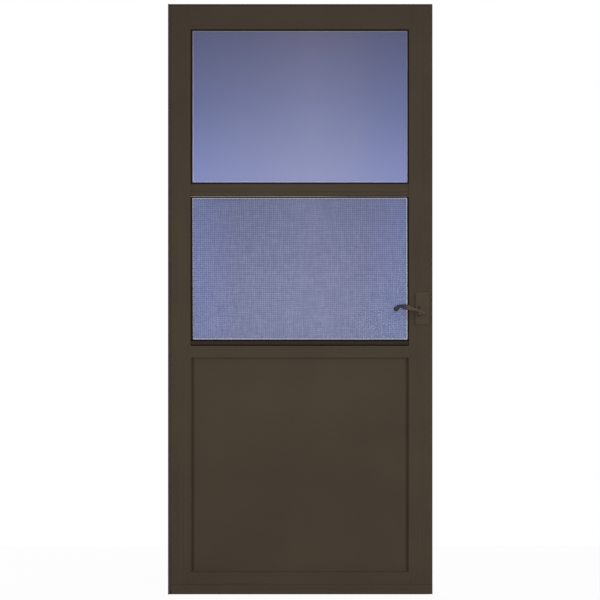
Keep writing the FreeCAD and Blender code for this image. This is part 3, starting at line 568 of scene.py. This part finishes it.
def make_screen():
    """The cloth, whose strands drift a little out of square as in any stretched weave."""
    low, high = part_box("insect_screen")
    wide, tall = high.x - low.x, high.z - low.z
    ends, picks = (math.ceil(length / CLOTH_PITCH / 2) * 2 for length in (wide, tall))
    step, rise = (wide - STRAND_WIDTH) / (ends - 1), (tall - STRAND_WIDTH) / (picks - 1)
    front = low.y + STRAND_DEPTH
    warp = in_rows(
        strand_pair(UP, RIGHT, picks + 1, tall, step), strands,
        (low.x + STRAND_WIDTH / 2, front, low.z), across=(ends // 2, RIGHT * (2 * step)),
    )
    weft = in_rows(
        strand_pair(RIGHT, UP, ends + 1, wide, rise), strands,
        (low.x, front, low.z + STRAND_WIDTH / 2), across=(picks // 2, UP * (2 * rise)),
    )
    weave = joined(warp, weft)
    noise.seed_set(WEAVE_SEED)
    for corner in weave.vertices:
        x, _, z = corner.co
        room = min(x - low.x, high.x - x, z - low.z, high.z - z)
        drift = noise.noise_vector(corner.co / DRIFT_WIDTH) * WEAVE_DRIFT
        drift.x += noise.noise((x / CLOTH_PITCH, WARP_STRAY, z / STRAY_LENGTH)) * STRAND_STRAY
        drift.z += noise.noise((x / STRAY_LENGTH, WEFT_STRAY, z / CLOTH_PITCH)) * STRAND_STRAY
        corner.co += Vector((drift.x, 0, drift.z)) * min(max(room, 0) / HELD_EDGE, 1)
    cloth = piece("screen_weave", weave, "leaf", "screen_cloth", strands, "insect_screen")


make_screen()

# Gasket lip
LIP_PROFILE = ((0, 0), (0, 2.6), (0.44, 2.2), (0.8, 1.1), (1, 0))  # shares of its width, rises in mm


def mitred(low, high, widths, profile):
    """Four bars round an opening, as wide as given on the left, right, foot and head: a profile of
    shares of that width in from the opening's edge, and of depths."""
    build = bmesh.new()
    left, right, foot, head = widths
    corners = (
        (low.x, low.z, left, foot), (high.x, low.z, -right, foot),
        (high.x, high.z, -right, -head), (low.x, high.z, left, -head),
    )
    rings = [
        [build.verts.new((x + across * share, y, z + up * share)) for share, y in profile]
        for x, z, across, up in corners
    ]
    rings_to_faces(build, rings + rings[:1], closed=False)
    return mesh_of(build)


def make_lip():
    """The soft lip of the gasket on the pane, all round its view."""
    low, high = lip_outline()
    widths = (LIP_WIDTH + ROOT_LEFT, LIP_WIDTH, LIP_WIDTH, LIP_WIDTH + ROOT_HEAD)
    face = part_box("upper_glass")[0].y
    profile = [(share, face - rise * MM) for share, rise in LIP_PROFILE]
    piece("gasket_lip", mitred(low, high, widths, profile), "leaf", "grey_vinyl", lip)


make_lip()

# Weather seals
PILE_STEP = 2 * MM  # real fibres are some 0.05 mm thick, drawn as coarser tufts
PILE_ROWS = 5
PILE_SIDE, PILE_START, PILE_ENDS = 1.1 * MM, 1.5 * MM, 2 * MM
PILE_LEAN = (0.3, 1.5, 0.3)
BACKING = 0.8 * MM
TUFT_PROFILE = ((0, 0.75, 0), (0.55, 0.6, 0.12), (1, 0.2, 0.4))  # share risen, radius and bend in mm


def tuft(length):
    """A tuft of pile that bends as it rises along -Y."""
    build = bmesh.new()
    rings = [
        [build.verts.new((
            (radius * math.cos(turn) + bend) * MM, -rise * length, radius * math.sin(turn) * MM,
        )) for turn in turns(3)]
        for rise, radius, bend in TUFT_PROFILE
    ]
    rings_to_faces(build, rings)
    return mesh_of(build)


def strip(low, high, edge):
    """A flat strip with eased edges."""
    build = bmesh.new()
    bmesh.ops.create_cube(build, size=1)
    bmesh.ops.scale(build, verts=build.verts, vec=high - low)
    bmesh.ops.translate(build, verts=build.verts, vec=(low + high) / 2)
    bmesh.ops.bevel(build, geom=build.edges, offset=edge, segments=2, profile=0.5, affect="EDGES")
    return mesh_of(build)


def make_pile(node):
    """A woven backing with rows of tufts."""
    low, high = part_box(node)
    upright = high.z - low.z > high.x - low.x
    across, along = (RIGHT, UP) if upright else (UP, RIGHT)
    width, length = (high - low).dot(across), (high - low).dot(along)
    start = low + across * PILE_SIDE + along * PILE_START
    start.y = high.y - BACKING
    tufts = in_rows(
        tuft(high.y - BACKING - low.y), pile, start,
        across=(PILE_ROWS, across * ((width - 2 * PILE_SIDE) / (PILE_ROWS - 1))),
        along=(int((length - PILE_ENDS) / PILE_STEP), along * PILE_STEP), lean=PILE_LEAN,
    )
    backing = strip(Vector((low.x, high.y - BACKING, low.z)), high, edge=0.2 * MM)
    piece(f"{node}_pile", joined(backing, tufts), "frame", "pile_seal", pile, node)


for seal in ("hinge_side_seal", "latch_side_seal", "head_seal"):
    make_pile(seal)

# Screws
SCREW_SIDES = 16
RAIL_SCREW_DEPTH, RAIL_SCREW_STEP = 35 * MM, 600 * MM
SIDE_SCREW_FOOT, HEAD_SCREW_LEFT = 121 * MM, 157 * MM
HINGE_SCREW_DEPTH, HINGE_SCREW_STEP = 17 * MM, 240 * MM
FRAME_LEAF_FACE, FRAME_LEAF_FOOT = 3.2 * MM, 60 * MM
DOOR_LEAF_FACE, DOOR_LEAF_FOOT = 7 * MM, 180 * MM
STRIKE_SCREW_DEPTH, STRIKE_SCREW_STEP = 19.6 * MM, 62 * MM
LATCH_SCREW_DEPTH, LATCH_SCREW_STEP = 16 * MM, 78 * MM
EXPANDER_SCREW_LEFT, EXPANDER_SCREW_HEIGHT, EXPANDER_SCREW_STEP = 90 * MM, 21 * MM, 244 * MM
PLATE_SCREW_SHIFT, PLATE_SCREW_FOOT, PLATE_SCREW_STEP = 3 * MM, 12 * MM, 86 * MM


def screw(head, rise, edge, slot_arm, shank=0.0, length=0.0):
    """A screw head that faces +Z, domed to a flat with a cross recess, on a shank if it has one."""
    build = bmesh.new()
    profile = [(head, 0), (head, rise * 0.35), (head - edge * 0.4, rise * 0.8), (head - edge, rise)]
    if length:
        profile = [(shank, -length), (shank, 0)] + profile
    rings = [
        [build.verts.new((radius * math.cos(turn), radius * math.sin(turn), up))
         for turn in turns(SCREW_SIDES)]
        for radius, up in profile
    ]
    rings_to_faces(build, rings, closed=False)
    build.faces.new(rings[0])
    arm, half, taper, floor_height = slot_arm, slot_arm * 0.3, 0.6, rise * 0.25
    cross = ((half, arm), (half, half), (arm, half), (arm, -half), (half, -half), (half, -arm),
             (-half, -arm), (-half, -half), (-arm, -half), (-arm, half), (-half, half), (-half, arm))
    mouth = [build.verts.new((x, y, rise)) for x, y in cross]
    floor = [build.verts.new((x * taper, y * taper, floor_height)) for x, y in cross]
    rings_to_faces(build, [mouth, floor], closed=False)
    build.faces.new(floor)
    rim = edges_round(build, rings[-1]) + edges_round(build, mouth)
    bmesh.ops.triangle_fill(build, edges=rim, use_beauty=True)
    return mesh_of(build)


def screw_row(kind, way, metal, start, count, step):
    """A row of screws that face one way."""
    return in_rows(turned_to(kind, way), metal, start, along=(count, step))


def make_screws():
    """Screws of the rails, the hinge, the strike, the latch, the expander and the inside plate."""
    pan_head = dict(head=4.2 * MM, rise=2.2 * MM, edge=1.6 * MM, slot_arm=1.9 * MM)
    pan, fixing = screw(**pan_head), screw(**pan_head, shank=2.3 * MM, length=1.8 * MM)
    flush = screw(head=3.2 * MM, rise=0.7 * MM, edge=0.7 * MM, slot_arm=1.7 * MM)
    to_right, to_left, down, inwards = (1, 0, 0), (-1, 0, 0), (0, 0, -1), (0, 1, 0)

    hinge_side, latch_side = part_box("hinge_rail")[1].x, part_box("latch_rail")[0].x
    head, rail_step, hinge_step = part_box("head_rail")[0].z, UP * RAIL_SCREW_STEP, UP * HINGE_SCREW_STEP
    on_rails = joined(
        screw_row(fixing, to_right, brown_screw, (hinge_side, RAIL_SCREW_DEPTH, SIDE_SCREW_FOOT),
                  4, rail_step),
        screw_row(fixing, to_left, brown_screw, (latch_side, RAIL_SCREW_DEPTH, SIDE_SCREW_FOOT),
                  4, rail_step),
        screw_row(fixing, down, brown_screw, (HEAD_SCREW_LEFT, RAIL_SCREW_DEPTH, head),
                  2, RIGHT * RAIL_SCREW_STEP),
        screw_row(flush, to_right, brown_screw, (FRAME_LEAF_FACE, HINGE_SCREW_DEPTH, FRAME_LEAF_FOOT),
                  9, hinge_step),
    )
    piece("rail_screws", on_rails, "frame", "plated_steel", brown_screw)

    strike = (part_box("strike_plate")[0].x, STRIKE_SCREW_DEPTH, HUB.z - STRIKE_SCREW_STEP / 2)
    on_strike = screw_row(flush, to_left, zinc, strike, 2, UP * STRIKE_SCREW_STEP)
    piece("strike_screws", on_strike, "frame", "plated_steel", zinc)

    expander = (EXPANDER_SCREW_LEFT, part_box("bottom_expander")[1].y, EXPANDER_SCREW_HEIGHT)
    plate_low, plate_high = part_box("interior_plate")
    plate = (HUB.x - PLATE_SCREW_SHIFT, plate_high.y, plate_low.z + PLATE_SCREW_FOOT)
    on_leaf = joined(
        screw_row(flush, to_left, brown_screw, (DOOR_LEAF_FACE, HINGE_SCREW_DEPTH, DOOR_LEAF_FOOT),
                  8, hinge_step),
        screw_row(pan, inwards, brown_screw, expander, 4, RIGHT * EXPANDER_SCREW_STEP),
        screw_row(pan, inwards, brown_screw, plate, 2, UP * PLATE_SCREW_STEP),
    )
    piece("leaf_screws", on_leaf, "leaf", "plated_steel", brown_screw)

    latch = (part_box("latch_faceplate")[1].x, LATCH_SCREW_DEPTH, HUB.z - LATCH_SCREW_STEP / 2)
    on_latch = screw_row(flush, to_right, zinc, latch, 2, UP * LATCH_SCREW_STEP)
    piece("latch_screws", on_latch, "leaf", "plated_steel", zinc)


make_screws()

# Outside plate and its set screw
NECK_RADIUS, NECK_CLEARANCE = 9 * MM, 0.05 * MM
BORE_SIDES = 40
RECESS_FLOOR = HUB + Vector((-4, -5, 17)) * MM
RECESS_RADIUS = 3 * MM
SOCKET_SIDES = 18
SET_SCREW_PROFILE = (  # radius and rise in mm, and whether it is six-sided
    (2.9, 0, False), (2.9, 0.7, False), (2.5, 1.1, False), (1.5, 1.1, True), (1.5, 0.2, True),
)


def make_outside_plate():
    """The straight-sided plate behind the outside lever, bevelled round its face, with a bore for the
    lever's neck and a round recess over it."""
    low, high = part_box("exterior_plate")
    build = bmesh.new()

    def rim(inset, y):
        left, right, foot, head = low.x + inset, high.x - inset, low.z + inset, high.z - inset
        corners = ((left, foot), (right, foot), (right, head), (left, head))
        return [build.verts.new((x, y, z)) for x, z in corners]

    def hole(centre, radius, y):
        return [
            build.verts.new((centre.x + radius * math.cos(turn), y, centre.z + radius * math.sin(turn)))
            for turn in turns(BORE_SIDES)
        ]

    back, shoulder, face = rim(0, high.y), rim(0, low.y + PLATE_BEVEL), rim(PLATE_BEVEL, low.y)
    bore = [hole(HUB, NECK_RADIUS + NECK_CLEARANCE, y) for y in (low.y, high.y)]
    recess = [hole(RECESS_FLOOR, RECESS_RADIUS, y) for y in (low.y, RECESS_FLOOR.y)]
    for rings in ((back, shoulder, face), bore, recess):
        rings_to_faces(build, rings, closed=False)
    build.faces.new(recess[1])
    for rings in ((face, bore[0], recess[0]), (back, bore[1])):
        edges = [edge for ring in rings for edge in edges_round(build, ring)]
        bmesh.ops.triangle_fill(build, edges=edges, use_beauty=True)
    piece("exterior_cast_plate", mesh_of(build), "leaf", "bronze_casting", casting, "exterior_plate")


def make_set_screw():
    """The socket screw at the foot of the outside plate's recess."""
    build = bmesh.new()
    twelfth = math.pi / 6
    rings = []
    for radius, rise, six_sided in SET_SCREW_PROFILE:
        ring = []
        for turn in turns(SOCKET_SIDES):
            flat = math.cos(twelfth) / math.cos((turn + twelfth) % (2 * twelfth) - twelfth)
            reach = radius * (flat if six_sided else 1)
            out = Vector((reach * math.cos(turn), -rise, reach * math.sin(turn))) * MM
            ring.append(build.verts.new(RECESS_FLOOR + out))
        rings.append(ring)
    rings_to_faces(build, rings)
    piece("set_screw", mesh_of(build), "leaf", "plated_steel", black_steel)


make_outside_plate()
make_set_screw()

# Sash latches
LATCH_WIDTH, HOUSING_DEPTH = 38 * MM, 2 * MM
SLIDE_SIDE, SLIDE_END, SLIDE_BACK, SLIDE_FACE = 8 * MM, 2 * MM, 1.5 * MM, 3.9 * MM
RIDGE_WIDTH, RIDGE_DEPTH, RIDGE_HALF = 1.4 * MM, 1.5 * MM, 4 * MM
RIDGE_START, RIDGE_BACK, RIDGE_STEP, RIDGE_COUNT = 10.5 * MM, 3.5 * MM, 3.1 * MM, 6


def make_sash_latches():
    """Each a flat housing with a ridged thumb slide."""
    low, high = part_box("sash_latches")
    parts = []
    for left in (low.x, high.x - LATCH_WIDTH):
        right = left + LATCH_WIDTH
        parts.append(strip(
            Vector((left, low.y, low.z)), Vector((right, low.y + HOUSING_DEPTH, high.z)), edge=0.7 * MM,
        ))
        parts.append(strip(
            Vector((left + SLIDE_SIDE, low.y + SLIDE_BACK, low.z + SLIDE_END)),
            Vector((right - SLIDE_SIDE, low.y + SLIDE_FACE, high.z - SLIDE_END)), edge=0.9 * MM,
        ))
        ridge = strip(
            Vector((0, 0, -RIDGE_HALF)), Vector((RIDGE_WIDTH, RIDGE_DEPTH, RIDGE_HALF)), edge=0.5 * MM,
        )
        parts.append(in_rows(
            ridge, nylon, (left + RIDGE_START, low.y + RIDGE_BACK, (low.z + high.z) / 2),
            across=(RIDGE_COUNT, RIGHT * RIDGE_STEP),
        ))
    piece("sash_finger_latches", joined(*parts), "leaf", "black_plastic", nylon, "sash_latches")


make_sash_latches()

# Lever handles
BLADE_CORNERS = (  # reach from the hub, rise over it and radius, in mm
    (-16, -10.5, 4), (16, 2.4, 30), (56, 8.4, 12), (69, 15.8, 4), (81, 1.2, 6), (91, 3.5, 6),
    (92, 13, 7), (78, 24, 14), (50, 27, 34), (-18, -2.5, 4),
)
BEND_STEPS = 6
BLADE_DEPTH, BLADE_ROUND, STANDOFF = 10.5 * MM, 3.5 * MM, 38 * MM
HUB_RADIUS, HUB_DEPTH, HUB_EDGE = 10.5 * MM, 5 * MM, 2 * MM


def rounded_outline(corners):
    """Points round an outline whose corners are arcs: each corner is a place and a radius."""
    points = []
    befores, afters = corners[-1:] + corners[:-1], corners[1:] + corners[:1]
    for (before, _), (here, radius), (after, _) in zip(befores, corners, afters):
        back, on = (before - here).normalized(), (after - here).normalized()
        half = back.angle(on) / 2
        centre = here + (back + on).normalized() * (radius / math.sin(half))
        first, last = here + back * (radius / math.tan(half)), here + on * (radius / math.tan(half))
        for step in range(BEND_STEPS + 1):
            spoke = (first - centre).lerp(last - centre, step / BEND_STEPS).normalized()
            points.append(centre + spoke * radius)
    return points


def lever_mesh(outside):
    """A cast lever with rounded edges on its boss, on one side of the door."""
    face, way = (0, -1) if outside else (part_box("latch_stile")[1].y, 1)
    corners = [
        (HUB + Vector((-reach, 0, rise)) * MM, radius * MM) for reach, rise, radius in BLADE_CORNERS
    ]
    build = bmesh.new()
    near = face + way * (STANDOFF - BLADE_DEPTH / 2)
    base = build.faces.new([build.verts.new((p.x, near, p.z)) for p in rounded_outline(corners)])
    top = bmesh.ops.extrude_face_region(build, geom=[base])["geom"]
    raised = [v for v in top if isinstance(v, bmesh.types.BMVert)]
    bmesh.ops.translate(build, verts=raised, vec=(0, way * BLADE_DEPTH, 0))
    rims = [e for e in build.edges if abs(e.verts[0].co.y - e.verts[1].co.y) < BLADE_ROUND / 10]
    bmesh.ops.bevel(build, geom=rims, offset=BLADE_ROUND, segments=5, profile=0.5, affect="EDGES")
    boss_profile = (
        (NECK_RADIUS, 0), (NECK_RADIUS, STANDOFF - HUB_DEPTH), (HUB_RADIUS, STANDOFF - HUB_DEPTH),
        (HUB_RADIUS, STANDOFF - HUB_EDGE), (HUB_RADIUS - 0.6 * HUB_EDGE, STANDOFF - 0.3 * HUB_EDGE),
        (HUB_RADIUS - HUB_EDGE, STANDOFF),
    )
    boss = [
        [build.verts.new(HUB + Vector((
            radius * math.cos(turn), face + way * out, radius * math.sin(turn),
        ))) for turn in turns(BORE_SIDES)]
        for radius, out in boss_profile
    ]
    rings_to_faces(build, boss)
    made = mesh_of(build)
    made.shade_smooth()
    return made


for side, outside in (("exterior", True), ("interior", False)):
    lever = piece(
        f"{side}_cast_lever", lever_mesh(outside), "lever", "bronze_casting", coat, f"{side}_lever",
    )
    lever.modifiers.new("even_shading", "WEIGHTED_NORMAL")

# Floor, light and camera
MIDDLE = Vector((0.4561, 0, 1.0184))  # of the view, on the door's outer face
CAMERA_DISTANCE, VIEW_WIDTH = 8.0, 2.0737  # to that face, and across it
SENSOR = 36.0
FLOOR_HALF, FLOOR_DROP, FLOOR_GLOW = 1.6, 0.5 * MM, 0.95
AMBIENT = 0.37


def seen_white(tree):
    """One for what is seen straight, in a gloss or through glass, and none for light that falls."""
    path = add(tree, "ShaderNodeLightPath").outputs
    seen = path["Is Camera Ray"]
    for ray in ("Is Glossy Ray", "Is Transmission Ray"):
        both = add(tree, "ShaderNodeMath", {0: seen, 1: path[ray]}, operation="ADD", use_clamp=True)
        seen = both.outputs[0]
    return seen


def stage_floor():
    """A plain white floor that keeps a soft shadow."""
    build = bmesh.new()
    bmesh.ops.create_grid(build, x_segments=1, y_segments=1, size=FLOOR_HALF)
    bmesh.ops.translate(build, verts=build.verts, vec=(MIDDLE.x, 0, -FLOOR_DROP))
    mesh = mesh_of(build)
    floor = bpy.data.objects.new("floor", mesh)
    bpy.context.collection.objects.link(floor)
    made = bpy.data.materials.new("white_floor")
    made.use_nodes = True
    tree = made.node_tree
    tree.nodes.clear()
    matte = add(tree, "ShaderNodeBsdfDiffuse", {"Color": "#f4f4f4"})
    glow = add(tree, "ShaderNodeEmission", {"Color": "#ffffff", "Strength": 1.0})
    share = add(tree, "ShaderNodeMapRange", {
        "Value": seen_white(tree), "To Min": 0.0, "To Max": FLOOR_GLOW,
    })
    mixed = add(tree, "ShaderNodeMixShader", {
        0: share.outputs[0], 1: matte.outputs[0], 2: glow.outputs[0],
    })
    add(tree, "ShaderNodeOutputMaterial", {"Surface": mixed.outputs[0]})
    mesh.materials.append(made)


def white_surround():
    """White to the eye and in glass and metal, softer as light on the object."""
    world = bpy.data.worlds.new("white_surround")
    bpy.context.scene.world = world
    world.use_nodes = True
    tree = world.node_tree
    tree.nodes.clear()
    level = add(tree, "ShaderNodeMapRange", {
        "Value": seen_white(tree), "To Min": AMBIENT, "To Max": 1.0,
    })
    light = add(tree, "ShaderNodeBackground", {"Color": "#ffffff", "Strength": level.outputs[0]})
    add(tree, "ShaderNodeOutputWorld", {"Surface": light.outputs[0]})


def soft_box(name, place, aim, size, watts, beam):
    """A round soft lamp that isn't seen in gloss or through glass."""
    lamp = bpy.data.lights.new(name, "AREA")
    lamp.shape = "DISK"
    lamp.size = size
    lamp.energy = watts
    lamp.spread = math.radians(beam)
    made = bpy.data.objects.new(name, lamp)
    bpy.context.collection.objects.link(made)
    made.location = place
    made.rotation_euler = (Vector(aim) - Vector(place)).to_track_quat("-Z", "Y").to_euler()
    made.visible_glossy = made.visible_transmission = False


def photo_camera():
    """The photograph's view, square on to the outside face."""
    lens = bpy.data.cameras.new("camera")
    lens.sensor_width = SENSOR
    lens.lens = SENSOR * CAMERA_DISTANCE / VIEW_WIDTH
    camera = bpy.data.objects.new("camera", lens)
    bpy.context.collection.objects.link(camera)
    camera.location = MIDDLE + Vector((0, -CAMERA_DISTANCE, 0))
    camera.rotation_euler = (math.pi / 2, 0, 0)
    bpy.context.scene.camera = camera


stage_floor()
white_surround()
soft_box("key_light", place=(2.3, -4.1, 2.7), aim=(0.3, 0, 0.8), size=3.4, watts=12, beam=60)
soft_box("fill_light", place=(0.6, -6.4, 1.05), aim=(0.42, 0, 0.93), size=2.2, watts=10.8, beam=41)
soft_box("back_light", place=(-0.9, 4.4, 2.6), aim=(0.45, 0, 0.9), size=2.6, watts=42, beam=90)
photo_camera()
bpy.context.scene.view_settings.view_transform = "Standard"
